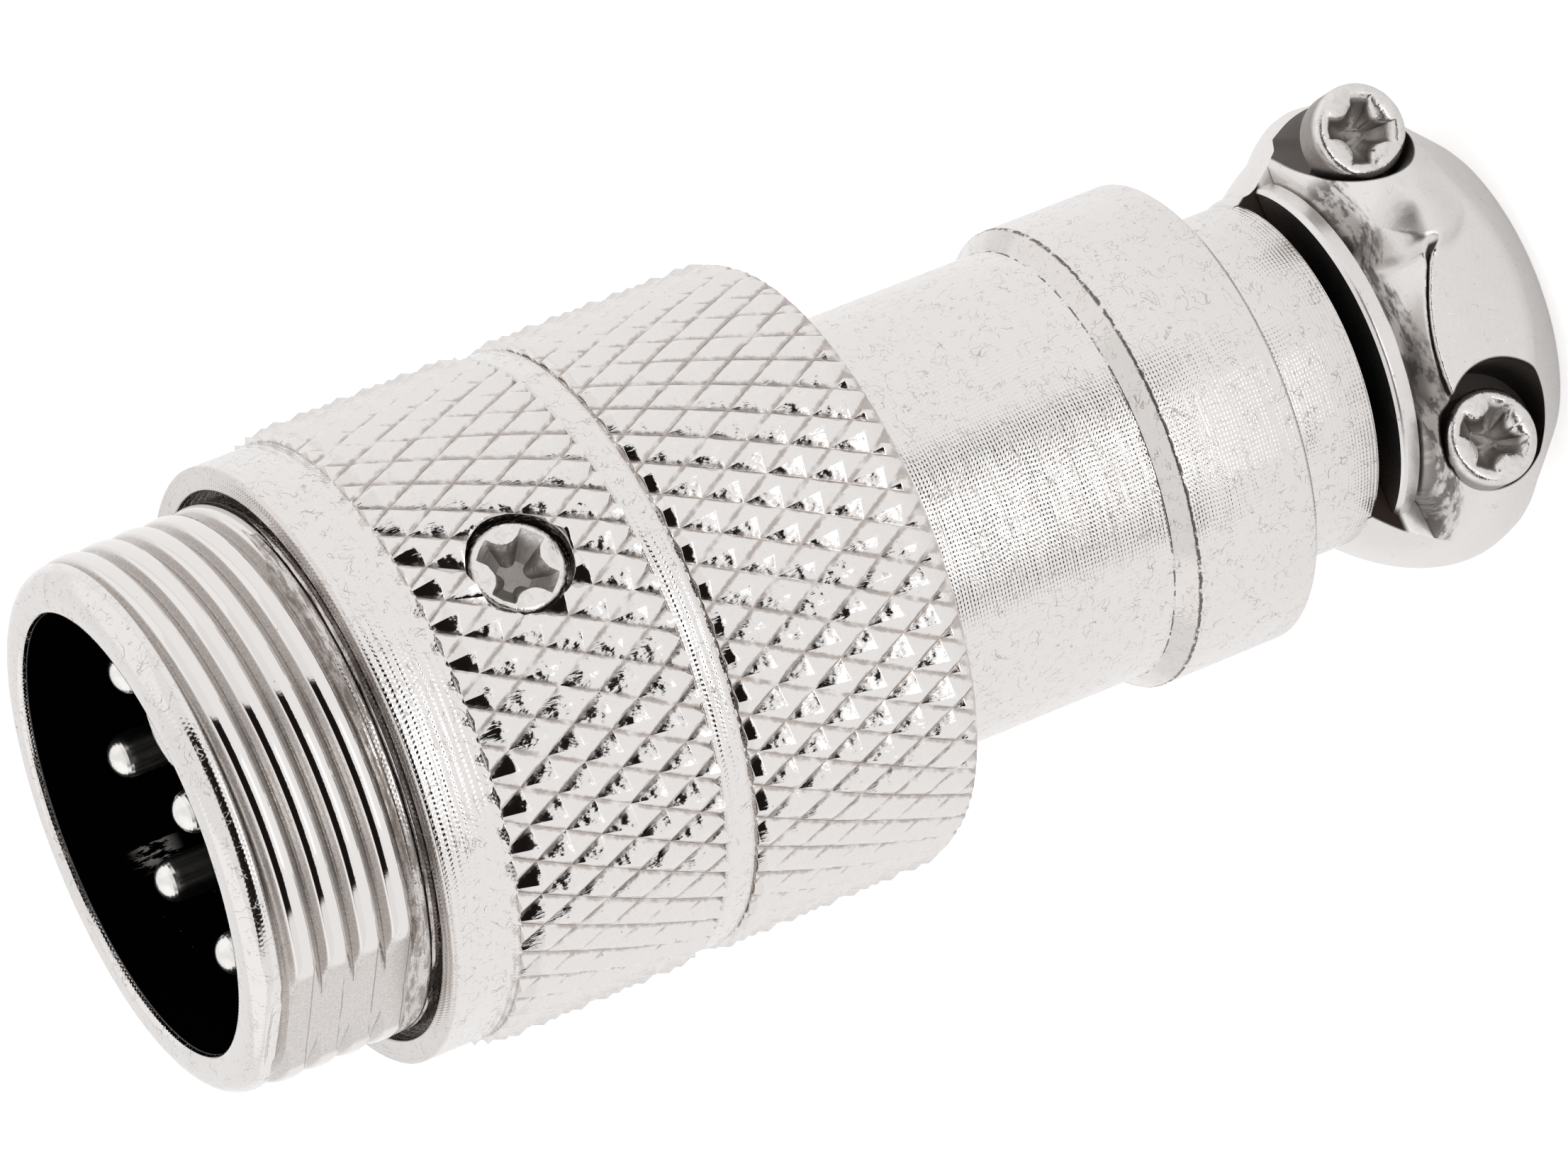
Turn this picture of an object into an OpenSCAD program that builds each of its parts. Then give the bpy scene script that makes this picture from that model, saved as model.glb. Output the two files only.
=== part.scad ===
// In-line circular connector plug with a threaded nose, eight contacts and a screwed cable clamp.
// It stands on the flat rear face of the clamp. Z runs up the plug's axis to the mating face,
// and the clamp saddle and its screw heads face -Y. Millimetres.
// An angle "round the axis" is turned counterclockwise, seen from the nose, from the -Y side.

/* [Lengths] */
// Cable clamp, from the rear face to the front of the saddle's lip
saddle_len = 5.8; // [5.2:0.1:8]
// Slot between the saddle's lip and the neck
slot_w = 0.65; // [0.4:0.05:1]
// Plain neck in front of the slot
neck_len = 3.2; // [2:0.1:8]
// Rear collar, chamfer included
collar_len = 4.6; // [2:0.1:8]
// Chamfer at the front of the rear collar
collar_chamfer = 0.53; // [0.1:0.01:0.8]
// Tube that shows between the rear collar and the sleeve
tube_len = 8; // [3:0.1:16]
// Knurled sleeve
sleeve_len = 16.9; // [15:0.1:22]
// Threaded nose that stands out of the sleeve
nose_len = 5.55; // [5.2:0.05:9]
// How far the rear shell is screwed into the sleeve
shell_engagement = 4; // [2:0.1:5]

/* [Radii] */
// Neck
neck_r = 5.34; // [4.8:0.02:5.8]
// Rear collar
collar_r = 7.13; // [6.8:0.01:8]
// Tube
tube_r = 6.62; // [6.3:0.01:6.75]
// Wall of the tube
tube_wall = 0.95; // [0.6:0.05:1.4]
// Wall of the neck
neck_wall = 1.1; // [0.7:0.05:1.5]
// Collar at the front of the sleeve
sleeve_r = 9; // [8.8:0.01:9.1]
// Smooth ring between the knurled bands
ring_r = 9.1; // [8.9:0.01:9.2]
// Front bore of the sleeve, a visible gap round the nose
mouth_bore_r = 8.28; // [8.1:0.01:8.4]
// Depth of that front bore
mouth_bore_depth = 1.7; // [1.2:0.1:2.1]

/* [Knurling] */
// Pyramids round the sleeve in one row
knurl_count = 50; // [40:1:60]
// Length of one pyramid along the axis
knurl_pitch = 2.04; // [1.6:0.02:2.6]
// Radius at the bottom of the knurl's grooves
knurl_root_r = 8.97; // [8.9:0.01:9.1]
// Height of the pyramids
knurl_h = 0.39; // [0.2:0.01:0.5]
// Smooth collar in front of the first band
collar_land = 2.1; // [1.8:0.05:3]
// Length of the first knurled band
band_1_len = 6.55; // [6:0.05:7]
// Smooth ring between the bands
ring_len = 1; // [0.6:0.05:1.6]
// Chamfer at the rear of the second band
band_chamfer = 0.35; // [0.2:0.05:0.6]
// First row of tips, behind the sleeve's front face
knurl_start = 0.81; // [0.8:0.01:0.95]
// Turn of the knurl round the axis
knurl_turn = -3.5; // [-3.6:0.1:3.6]

/* [Nose] */
// Crest radius of the mating thread
thread_r = 8; // [7.9:0.01:8.05]
// Pitch of the mating thread
thread_pitch = 1; // [0.75:0.05:1.25]
// Depth of the mating thread
thread_depth = 0.58; // [0.3:0.02:0.6]
// Width of a crest
thread_crest = 0.22; // [0.15:0.01:0.3]
// Number of thread ridges
thread_turns = 4; // [3:1:4]
// Front of the rim to the first crest
thread_start = 1.35; // [1.25:0.05:1.6]
// Round on the outside of the rim
rim_round = 0.6; // [0.3:0.05:0.8]
// Mating cavity
cavity_r = 6.62; // [6.4:0.01:6.7]
// Step down from the seated part to the undercut stub behind the thread
stub_step = 0.45; // [0.3:0.01:0.5]
// Part of the nose that seats in the sleeve
nose_body_r = 7.75; // [7.6:0.01:7.9]
// Length of the nose inside the sleeve
nose_inside = 9; // [8.8:0.1:10]
// Distance of the thread's two flats from the axis
flat_dist = 7.6; // [7.5:0.01:7.8]
// Turn of the flats round the axis
flat_turn = -64.5; // [-180:0.5:180]
// How far the key stands into the cavity
key_h = 0.75; // [0.5:0.05:1]
// Width of the key
key_w = 2.2; // [1.4:0.1:2.6]
// Turn of the key and the set screw round the axis
key_turn = 16; // [-90:1:90]

/* [Contacts] */
// Radius of a contact pin
pin_r = 0.65; // [0.5:0.01:0.75]
// Circle of the seven outer contacts
pin_circle_r = 4.35; // [4:0.05:4.4]
// Turn of the contact pattern past the key
pin_turn = 2.5; // [-10:0.5:10]
// How far the pin tips stay behind the rim
pin_recess = 1.55; // [1.4:0.05:3]
// Front face of the insulator, behind the sleeve's front face
insulator_set = 2.5; // [2:0.1:3]
// Thickness of the insulator
insulator_len = 5; // [4:0.1:5.2]
// Solder cup radius
cup_r = 0.85; // [0.7:0.01:0.95]
// Solder cup length
cup_len = 3.6; // [2.5:0.1:4]

/* [Set screw] */
// Set screw radius
set_r = 1.5; // [1.2:0.05:1.6]
// Set screw axis behind the sleeve's front face
set_pos = 5.3; // [5.2:0.05:5.5]
// How far the set screw's outer end lies below the smooth ring
set_sink = 0.35; // [0.2:0.01:0.5]

/* [Cable clamp] */
// Fullest radius of the clamp
clamp_r = 7.15; // [7:0.01:7.6]
// Edge radius of the flat rear face
rear_face_r = 5.3; // [5:0.05:5.8]
// Length of the cone round the rear face
cone_len = 1.85; // [1.4:0.05:2.2]
// Radius at the front edge of that cone
cone_r = 6.85; // [6.5:0.05:6.95]
// Split between the two halves, on the saddle's side of the axis
split_h = 2; // [1.8:0.05:2.2]
// Cable hole
cable_r = 3; // [2.4:0.05:3.05]
// Distance between the two clamp screws
screw_span = 9.7; // [9.6:0.05:9.9]
// Sideways shift of the screw pair
screw_shift = 0.6; // [0:0.05:0.65]
// Clamp screws from the rear face
screw_pos = 3.35; // [3.1:0.05:3.5]
// Screw shank radius
shank_r = 1; // [0.8:0.05:1.05]
// Screw head radius
head_r = 1.45; // [1.3:0.05:1.6]
// Screw head height
head_h = 1.3; // [0.9:0.05:1.5]
// Height of the screw seats above the axis
seat_h = 3.9; // [3.6:0.05:4.1]
// Flat panel between the screws, height above the axis
panel_h = 6.15; // [5.8:0.05:6.6]
// Sideways reach of the panel towards the upper screw
panel_edge = 1.5; // [1:0.05:2]
// Length of a screw shank under its head
shank_len = 6; // [4:0.1:6.6]

/* [Hidden] */
$fn = 128;
eps = 0.01;
nickel = [0.84, 0.83, 0.82];
zinc = [0.78, 0.77, 0.76];
gold = [0.9, 0.86, 0.78];

// Stations up the axis
neck_z = saddle_len + slot_w;
collar_z = neck_z + neck_len;
tube_z = collar_z + collar_len;
sleeve_z = tube_z + tube_len;
front_z = sleeve_z + sleeve_len;
nose_z = front_z + nose_len;
shell_top_z = sleeve_z + shell_engagement;
stub_r = nose_body_r - stub_step;
set_top_r = ring_r - set_sink;

// Clearances between pieces of one assembly
fit_gap = 0.02;
thread_gap = 0.05;
screw_gap = 0.04;
tube_bore_r = tube_r - tube_wall;
neck_bore_r = neck_r - neck_wall;

// Bands of the knurl, measured back from the sleeve's front face
// Each band's ends stand a little clear of the steps turned on the core under it.
step_gap = 0.05;
band_1 = [collar_land, collar_land + band_1_len];
band_2 = [band_1[1] + ring_len, sleeve_len - step_gap];
row_step = knurl_pitch / 2;
half_turn = 180 / knurl_count;

// Nose and insulator
insulator_z = front_z - insulator_set;
ledge_h = 0.5;
ledge_r = cavity_r - 0.42;
ring_h = 0.6;
ring_groove_r = cavity_r + 0.33;
insulator_back_z = insulator_z - insulator_len;
nose_back_z = front_z - nose_inside;
thread_top_z = nose_z - thread_start;
thread_end_z = thread_top_z - (thread_turns - 1) * thread_pitch;
root_r = thread_r - thread_depth;
contact_count = 8;
shoulder_r = cup_r + 0.15;
shoulder_h = 0.4;

// Places a child built on the -Y side at an angle round the axis.
module around(turn) {
    rotate([0, 0, turn]) children();
}

// A cylinder that starts on the axis and runs out along -Y.
module outward(r, from, to) {
    translate([0, -from, 0]) rotate([90, 0, 0]) cylinder(r = r, h = to - from);
}

// Cross recess for a screwdriver, cut down from the top at z = 0.
module cross_recess(size, depth) {
    arm = size * 0.27;
    for (turn = [0, 90]) rotate([0, 0, turn]) {
        translate([-size / 2, -arm / 2, -depth * 0.6]) cube([size, arm, depth]);
    }
    translate([0, 0, -depth]) cylinder(r1 = arm * 0.35, r2 = size * 0.31, h = depth + eps, $fn = 24);
}

// ---- Knurling: rows of pyramids, each row turned half a pyramid from the last ----

function knurl_point(back, step, r) = let (a = step * half_turn - 90 + knurl_turn)
    [r * cos(a), r * sin(a), front_z - back];
function is_tip(row, step) = (row + step) % 2 == 0;
function row_back(row) = knurl_start + row * row_step;
function plain_row(back, r) = [for (s = [0:2 * knurl_count - 1]) knurl_point(back, s, r)];
function full_row(row) = [for (s = [0:2 * knurl_count - 1])
    knurl_point(row_back(row), s, knurl_root_r + (is_tip(row, s) ? knurl_h : 0))];
// A cut beside a row crosses one ridge and one groove in every half turn of a pyramid.
// The shift moves it on without changing its outline, for a chamfer.
function cut_row(row, back, height, shift = 0) = let (t = abs(back - row_back(row)) / row_step)
    [for (s = [0:2 * knurl_count - 1]) let (share = is_tip(row, s) ? 1 - t : t) each [
        knurl_point(back + shift, s, knurl_root_r + height * share),
        knurl_point(back + shift, s + share, knurl_root_r),
    ]];

// Facets between two full rows, folded along the grooves.
function row_faces(a, b, row) = let (n = 2 * knurl_count)
    [for (s = [0:n - 1]) let (e = (s + 1) % n) each is_tip(row, s)
        ? [[a + s, a + e, b + s], [a + e, b + e, b + s]]
        : [[a + s, b + e, b + s], [a + s, a + e, b + e]]];
// Facets from a full row down to a cut behind it.
function cut_faces(a, c) = let (n = 2 * knurl_count)
    [for (s = [0:n - 1]) let (e = (s + 1) % n, v = c + 2 * s + 1)
        each [[a + s, v, c + 2 * s], [a + s, a + e, v], [a + e, c + 2 * e, v]]];
// The flat rear end of a band, from a cut down to a plain row.
function end_faces(c, p) = let (n = 2 * knurl_count)
    [for (s = [0:n - 1]) let (e = (s + 1) % n, v = c + 2 * s + 1)
        each [[c + 2 * s, v, p + s], [v, p + e, p + s], [v, c + 2 * e, p + e]]];
// A wall between two rows of the same number of points.
function wall_faces(p, q, n) = [for (s = [0:n - 1]) let (e = (s + 1) % n)
    each [[p + s, p + e, q + s], [p + e, q + e, q + s]]];
function flipped(faces) = [for (f = faces) [f[2], f[1], f[0]]];

// One knurled band, a ring from inside the sleeve's wall out to the tips.
module knurl_band(band, chamfer) {
    n = 2 * knurl_count;
    inner_r = knurl_root_r - 0.3;
    cut_back = band[1] - chamfer;
    first = ceil((band[0] - knurl_start) / row_step);
    last = floor((cut_back - knurl_start) / row_step);
    body = 3 * n;
    rear_cut = body + (last - first + 1) * n;
    rim = chamfer > 0 ? rear_cut + 2 * n : rear_cut;
    inner_rear = rim + 2 * n;
    points = concat(
        plain_row(band[0], inner_r),
        cut_row(first, band[0], knurl_h),
        [for (row = [first:last]) each full_row(row)],
        cut_row(last, cut_back, knurl_h),
        chamfer > 0 ? cut_row(last, cut_back, max(knurl_h - chamfer, 0.03), chamfer) : [],
        plain_row(band[1], inner_r)
    );
    faces = concat(
        flipped(end_faces(n, 0)),
        flipped(cut_faces(body, n)),
        [for (row = [first:last - 1]) each row_faces(body + (row - first) * n, body + (row - first + 1) * n, row)],
        cut_faces(rear_cut - n, rear_cut),
        chamfer > 0 ? wall_faces(rear_cut, rim, 2 * n) : [],
        end_faces(rim, inner_rear),
        flipped(wall_faces(0, inner_rear, n))
    );
    polyhedron(points = points, faces = faces, convexity = 6);
}

// ---- Sleeve and set screw ----

// The turned core: collar, ring, bores and the thread that takes the rear shell.
module sleeve_core() {
    core_r = knurl_root_r - 0.03;
    edge = 0.15;
    rear_edge = step_gap * 0.6;
    rotate_extrude() polygon([
        [tube_r + fit_gap, sleeve_z],
        [core_r - rear_edge, sleeve_z],
        [core_r, sleeve_z + rear_edge],
        [core_r, front_z - band_2[0] + 2 * step_gap],
        [ring_r, front_z - band_2[0] + 2 * step_gap],
        [ring_r, front_z - band_1[1] + step_gap],
        [core_r, front_z - band_1[1] + step_gap],
        [core_r, front_z - band_1[0] - step_gap],
        [sleeve_r, front_z - band_1[0] - step_gap],
        [sleeve_r, front_z - edge],
        [sleeve_r - edge, front_z],
        [mouth_bore_r + edge / 2, front_z],
        [mouth_bore_r, front_z - edge / 2],
        [mouth_bore_r, front_z - mouth_bore_depth],
        [nose_body_r + fit_gap, front_z - mouth_bore_depth],
        [nose_body_r + fit_gap, nose_back_z - fit_gap],
        [tube_r + fit_gap, nose_back_z - fit_gap],
    ]);
}

module sleeve() {
    color(nickel) difference() {
        union() {
            sleeve_core();
            knurl_band(band_1, 0);
            knurl_band(band_2, band_chamfer);
        }
        around(key_turn) translate([0, 0, front_z - set_pos]) outward(set_r + thread_gap, 0, sleeve_r + 2);
    }
}

// Headless screw that bears in the groove round the nose shell.
module set_screw() {
    foot_r = stub_r + fit_gap;
    bevel = 0.12;
    color(zinc) around(key_turn) translate([0, 0, front_z - set_pos]) rotate([90, 0, 0]) difference() {
        rotate_extrude() polygon([
            [0, foot_r],
            [set_r * 0.6, foot_r],
            [set_r, foot_r + set_r * 0.3],
            [set_r, set_top_r - bevel],
            [set_r - bevel, set_top_r],
            [0, set_top_r],
        ]);
        translate([0, 0, set_top_r]) rotate([0, 0, 40]) cross_recess(set_r * 1.5, 0.7);
    }
}

// ---- Nose shell with its contacts ----

function arc(cx, cy, r, from, to, steps) = [for (i = [0:steps]) let (a = from + (to - from) * i / steps)
    [cx + r * cos(a), cy + r * sin(a)]];

// One ridge of the thread, listed up the axis.
function ridge(z) = let (flank = (thread_pitch - thread_crest) / 2 - 0.06) [
    [root_r, z - thread_crest / 2 - flank],
    [thread_r, z - thread_crest / 2],
    [thread_r, z + thread_crest / 2],
    [root_r, z + thread_crest / 2 + flank],
];

module nose_profile() {
    relief = 0.4;
    rib_z = front_z - 0.55;
    polygon(concat(
        [
            [cavity_r, nose_back_z],
            [nose_body_r - 0.2, nose_back_z],
            [nose_body_r, nose_back_z + 0.2],
            [nose_body_r, front_z - set_pos - set_r - relief],
            [stub_r, front_z - set_pos - set_r - relief],
            [stub_r, front_z - set_pos + set_r + relief / 2],
            [nose_body_r, front_z - set_pos + set_r + relief / 2],
            [nose_body_r, front_z - mouth_bore_depth - relief],
            [stub_r, front_z - mouth_bore_depth],
            [stub_r, rib_z - 0.15],
            [stub_r + 0.2, rib_z],
            [stub_r, rib_z + 0.15],
            [stub_r, thread_end_z - thread_pitch * 0.6],
        ],
        [for (i = [thread_turns - 1:-1:0]) each ridge(thread_top_z - i * thread_pitch)],
        [[root_r, thread_top_z + thread_pitch * 0.55]],
        arc(thread_r - 0.1 - rim_round, nose_z - rim_round, rim_round, 0, 90, 6),
        arc(cavity_r + 0.22, nose_z - 0.22, 0.22, 90, 180, 4),
        [
            [cavity_r, insulator_z],
            [ledge_r, insulator_z],
            [ledge_r, insulator_z - ledge_h],
            [cavity_r, insulator_z - ledge_h],
            [cavity_r, insulator_back_z - fit_gap],
            [ring_groove_r, insulator_back_z - fit_gap],
            [ring_groove_r, insulator_back_z - ring_h - 2 * fit_gap],
            [cavity_r, insulator_back_z - ring_h - 2 * fit_gap],
        ]
    ));
}

// The key is a rounded rib along the wall of the mating cavity, rooted in that wall.
module key_rib() {
    key_from = insulator_z - eps;
    key_to = nose_z - 0.12;
    root = 0.25;
    rise = key_h + root;
    rib_r = (pow(key_w / 2, 2) + pow(rise, 2)) / (2 * rise);
    around(key_turn) intersection() {
        translate([0, 0, key_from]) cylinder(r = cavity_r + root, h = key_to - key_from);
        translate([0, rise - rib_r - cavity_r - root, key_from]) cylinder(r = rib_r, h = key_to - key_from);
    }
}

module nose_shell() {
    flat_from = thread_end_z - thread_pitch * 0.55;
    flat_to = nose_z - rim_round - 0.2;
    cut = 2;
    color(zinc) difference() {
        union() {
            rotate_extrude() nose_profile();
            key_rib();
        }
        for (side = [0, 180]) around(flat_turn + side) {
            translate([-thread_r / 2, -flat_dist - cut, flat_from]) cube([thread_r, cut, flat_to - flat_from]);
        }
    }
}

// Places of the contacts: the first in the middle, the others round it.
function contact_turn(i) = i == 1 ? 0 : key_turn + pin_turn + (i - 1.5) * 360 / (contact_count - 1);
function contact_xy(i) = i == 1 ? [0, 0] : pin_circle_r * [sin(contact_turn(i)), -cos(contact_turn(i))];

module insulator() {
    disc_r = cavity_r - fit_gap;
    color([0.07, 0.07, 0.07]) difference() {
        union() {
            translate([0, 0, insulator_back_z]) cylinder(r = disc_r, h = insulator_len - ledge_h - fit_gap);
            translate([0, 0, insulator_back_z]) cylinder(r = ledge_r - fit_gap, h = insulator_len);
        }
        for (i = [1:contact_count]) translate([contact_xy(i).x, contact_xy(i).y, insulator_back_z - 1]) {
            cylinder(r = pin_r + fit_gap, h = insulator_len + 2);
        }
        for (i = [1:contact_count]) translate([contact_xy(i).x, contact_xy(i).y, insulator_back_z - 1]) {
            cylinder(r = shoulder_r + fit_gap, h = 1 + shoulder_h);
        }
    }
}

// Open spring ring in the groove behind the insulator.
module retaining_ring() {
    inner_r = pin_circle_r + shoulder_r + 0.3;
    gap = 2.6;
    color(zinc) translate([0, 0, insulator_back_z - ring_h - fit_gap]) difference() {
        cylinder(r = ring_groove_r - fit_gap, h = ring_h);
        translate([0, 0, -1]) cylinder(r = inner_r, h = ring_h + 2);
        around(key_turn) translate([-gap / 2, -ring_groove_r - 1, -1]) cube([gap, ring_groove_r, ring_h + 2]);
    }
}

// A turned pin with a round tip, a shoulder in the insulator and an open solder cup.
module contact(i) {
    tip_z = nose_z - pin_recess;
    cup_z = insulator_back_z - cup_len;
    bore_r = cup_r - 0.25;
    dome = pin_r * 0.9;
    color(gold) translate([contact_xy(i).x, contact_xy(i).y, 0]) difference() {
        rotate_extrude() polygon(concat(
            [
                [0, cup_z],
                [cup_r, cup_z],
                [cup_r, insulator_back_z],
                [shoulder_r, insulator_back_z],
                [shoulder_r, insulator_back_z + shoulder_h - fit_gap],
                [pin_r, insulator_back_z + shoulder_h - fit_gap],
                [pin_r, tip_z - dome],
            ],
            [for (a = [10:10:90]) [pin_r * cos(a), tip_z - dome + dome * sin(a)]]
        ));
        translate([0, 0, cup_z - 1]) cylinder(r = bore_r, h = cup_len - 0.8 + 1);
        around(contact_turn(i)) {
            translate([-cup_r - 1, -cup_r - 1, cup_z - 1]) cube([2 * cup_r + 2, cup_r + 1 - bore_r * 0.3, 1 + cup_len * 0.45]);
        }
    }
}

// ---- Rear shell and cable clamp ----

// Barrel that both halves of the clamp are cut from: a cone round the rear face,
// a full belly over the screws and a long shoulder down to the neck.
module barrel() {
    edge = 0.15;
    belly_z = screw_pos * 0.9;
    reach = neck_z - belly_z;
    shoulder = clamp_r - neck_r;
    rotate_extrude() polygon(concat(
        [[0, 0], [rear_face_r - edge, 0], [rear_face_r, edge], [cone_r, cone_len]],
        [[clamp_r - (clamp_r - cone_r) * 0.3, (cone_len + belly_z) / 2]],
        [for (t = [0:0.2:1]) [clamp_r - shoulder * pow(t, 1.9), belly_z + reach * t]],
        [[0, neck_z]]
    ));
}

// Room on the integral half's side of the split, wider than the clamp.
module behind_split(high) {
    translate([-2 * clamp_r, -split_h, 0]) cube([4 * clamp_r, 4 * clamp_r, high]);
}

// Runs its children once at each clamp screw, facing -Y.
module at_screw(side) {
    translate([screw_shift + side * screw_span / 2, 0, screw_pos]) children();
}

module rear_shell() {
    seam = 0.12;
    joint_h = 0.4;
    bore_end = 0.5;
    color(nickel) difference() {
        union() {
            rotate_extrude() polygon([
                [neck_bore_r, neck_z],
                [neck_r, neck_z],
                [neck_r, collar_z - seam],
                [neck_r - seam, collar_z],
                [collar_r - seam, collar_z],
                [collar_r, collar_z + seam],
                [collar_r, tube_z - collar_chamfer],
                [tube_r, tube_z],
                [tube_r, shell_top_z - 0.3],
                [tube_r - 0.3, shell_top_z],
                [tube_bore_r, shell_top_z],
                [tube_bore_r, collar_z + joint_h + tube_bore_r - neck_bore_r],
                [neck_bore_r, collar_z + joint_h],
            ]);
            intersection() {
                union() {
                    barrel();
                    cylinder(r = neck_r, h = neck_z + joint_h);
                }
                behind_split(neck_z + joint_h);
            }
        }
        translate([0, 0, -1]) cylinder(r = cable_r, h = saddle_len + 2);
        translate([0, 0, saddle_len]) cylinder(r1 = cable_r, r2 = neck_bore_r, h = slot_w + eps);
        translate([0, 0, neck_z]) cylinder(r = neck_bore_r, h = joint_h + eps);
        for (side = [-1, 1]) at_screw(side) {
            outward(shank_r + screw_gap, seat_h - shank_len - bore_end, clamp_r);
        }
    }
}

module clamp_saddle() {
    lip_r = neck_r + 0.26;
    lip_w = 0.5;
    lip_edge = 0.1;
    groove_r = neck_r - 0.2;
    groove_w = 0.65;
    slope = 0.7;
    body_z = saddle_len - lip_w - groove_w;
    reach = 2 * clamp_r;
    pocket_gap = [0.5, 0.2];
    color(nickel) difference() {
        intersection() {
            union() {
                intersection() {
                    barrel();
                    union() {
                        cylinder(r = reach, h = body_z - slope);
                        translate([0, 0, body_z - slope]) cylinder(r1 = clamp_r, r2 = groove_r, h = slope);
                    }
                }
                rotate_extrude() polygon([
                    [0, 0],
                    [groove_r, 0],
                    [groove_r, saddle_len - lip_w],
                    [lip_r, saddle_len - lip_w + lip_edge],
                    [lip_r, saddle_len - lip_edge],
                    [lip_r - lip_edge, saddle_len],
                    [0, saddle_len],
                ]);
            }
            translate([-reach, -reach - split_h - fit_gap, 0]) cube([2 * reach, reach, saddle_len]);
        }
        translate([0, 0, -1]) cylinder(r = cable_r, h = saddle_len + 2);
        translate([-clamp_r, -reach, -1]) cube([clamp_r + panel_edge, reach - panel_h, body_z + 1 - slope * 0.6]);
        for (side = [-1, 1]) at_screw(side) {
            outward(shank_r + screw_gap + lip_edge, 0, reach);
            outward(head_r + pocket_gap[side < 0 ? 0 : 1], seat_h, reach);
        }
    }
}

// Pan-head screw whose shank passes the saddle and is screwed into the rear shell.
module clamp_screw(side, turn) {
    bevel = 0.22;
    color(zinc) at_screw(side) rotate([90, 0, 0]) difference() {
        union() {
            rotate_extrude() polygon([
                [0, seat_h + fit_gap],
                [head_r, seat_h + fit_gap],
                [head_r, seat_h + head_h - bevel],
                [head_r - bevel * 0.7, seat_h + head_h],
                [0, seat_h + head_h],
            ]);
            translate([0, 0, seat_h - shank_len]) cylinder(r = shank_r, h = shank_len + 0.2);
        }
        translate([0, 0, seat_h + head_h]) rotate([0, 0, turn]) cross_recess(head_r * 1.55, 0.85);
    }
}

nose_shell();
insulator();
retaining_ring();
contact(1);  // contact_1
contact(2);  // contact_2
contact(3);  // contact_3
contact(4);  // contact_4
contact(5);  // contact_5
contact(6);  // contact_6
contact(7);  // contact_7
contact(8);  // contact_8
sleeve();
set_screw();
rear_shell();
clamp_saddle();
clamp_screw(1, -22);  // clamp_screw_upper
clamp_screw(-1, -38);  // clamp_screw_lower
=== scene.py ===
"""Finish of the circular connector plug: turned nickel, knurling, thread, contacts and cable clamp."""

import math

import bmesh
import bpy
from mathutils import Matrix, Quaternion, Vector, noise


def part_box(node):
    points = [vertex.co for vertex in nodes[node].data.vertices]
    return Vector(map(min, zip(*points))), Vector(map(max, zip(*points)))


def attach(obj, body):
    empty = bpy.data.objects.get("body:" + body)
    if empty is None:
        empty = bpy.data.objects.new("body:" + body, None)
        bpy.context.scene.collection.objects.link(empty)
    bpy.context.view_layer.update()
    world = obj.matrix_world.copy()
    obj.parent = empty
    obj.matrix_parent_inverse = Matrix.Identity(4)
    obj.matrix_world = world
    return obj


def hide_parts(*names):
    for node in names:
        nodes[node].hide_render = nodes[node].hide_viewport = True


MM = 0.001
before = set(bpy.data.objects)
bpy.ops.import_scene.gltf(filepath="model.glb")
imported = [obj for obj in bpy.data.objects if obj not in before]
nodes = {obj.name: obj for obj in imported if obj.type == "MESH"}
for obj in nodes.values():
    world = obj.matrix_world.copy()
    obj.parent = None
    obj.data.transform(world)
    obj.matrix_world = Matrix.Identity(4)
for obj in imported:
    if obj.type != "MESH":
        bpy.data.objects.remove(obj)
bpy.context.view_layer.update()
scene = bpy.context.scene
low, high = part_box("sleeve")
AXIS = Vector(((low.x + high.x) / 2, (low.y + high.y) / 2, 0))

# Stations up the axis and radii, in millimetres, as the solids have them.
SADDLE_Z, NECK_Z, COLLAR_Z, TUBE_Z = 5.8, 6.45, 9.65, 14.25
SLEEVE_Z, FRONT_Z, NOSE_Z = 22.25, 39.15, 44.7
NECK_R, COLLAR_R, TUBE_R, SLEEVE_R, RING_R = 5.34, 7.13, 6.62, 9.0, 9.1
CAVITY_R, THREAD_R = 6.62, 8.0
KEY_TURN, FLAT_TURN, FLAT = 16, -64.5, 7.5
# The raised ring between the two knurled bands, and the rolled pyramids: root radius and height.
RING_BACK, RING_FRONT, CORE_R = 29.62, 30.55, 8.94
KNURL_R, KNURL_RISE = 8.97, 0.39
# The thread's crest starts at this height and angle, and falls by one pitch a turn.
THREAD_TOP, THREAD_TURN = 43.72, 186.5
# The clamp: its split plane, the screws' seat and heads, and where each screw stands.
SPLIT = 2.0
SEAT, HEAD_R, HEAD_H = 3.9, 1.45, 1.3
UPPER, LOWER, SCREW_Z = 5.45, -4.25, 3.35
# Round pockets for the heads: place across, height and radius.
POCKETS = ((UPPER, SCREW_Z, 1.6), (LOWER + 0.30, SCREW_Z - 0.20, 1.77))
# The set screw stands over the key: its height, its hole, and how far out its top lies.
SET_Z, SET_BORE_R, SET_TOP = FRONT_Z - 5.3, 1.55, 8.75
KEY_WAY = (math.sin(math.radians(KEY_TURN)), -math.cos(math.radians(KEY_TURN)), 0)


# ---- Camera ----

def add_camera():
    data = bpy.data.cameras.new("camera")
    data.sensor_width = 36
    data.lens = 207.32
    data.clip_start, data.clip_end = 0.01, 20
    camera = bpy.data.objects.new("camera", data)
    scene.collection.objects.link(camera)
    camera.rotation_mode = "QUATERNION"
    camera.rotation_quaternion = Quaternion((-0.44230961, -0.32953762, -0.45718758, 0.69767233))
    camera.location = AXIS + Vector((-14.787, -241.771, 118.451)) * MM
    scene.camera = camera


# ---- Shader maths ----

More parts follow.
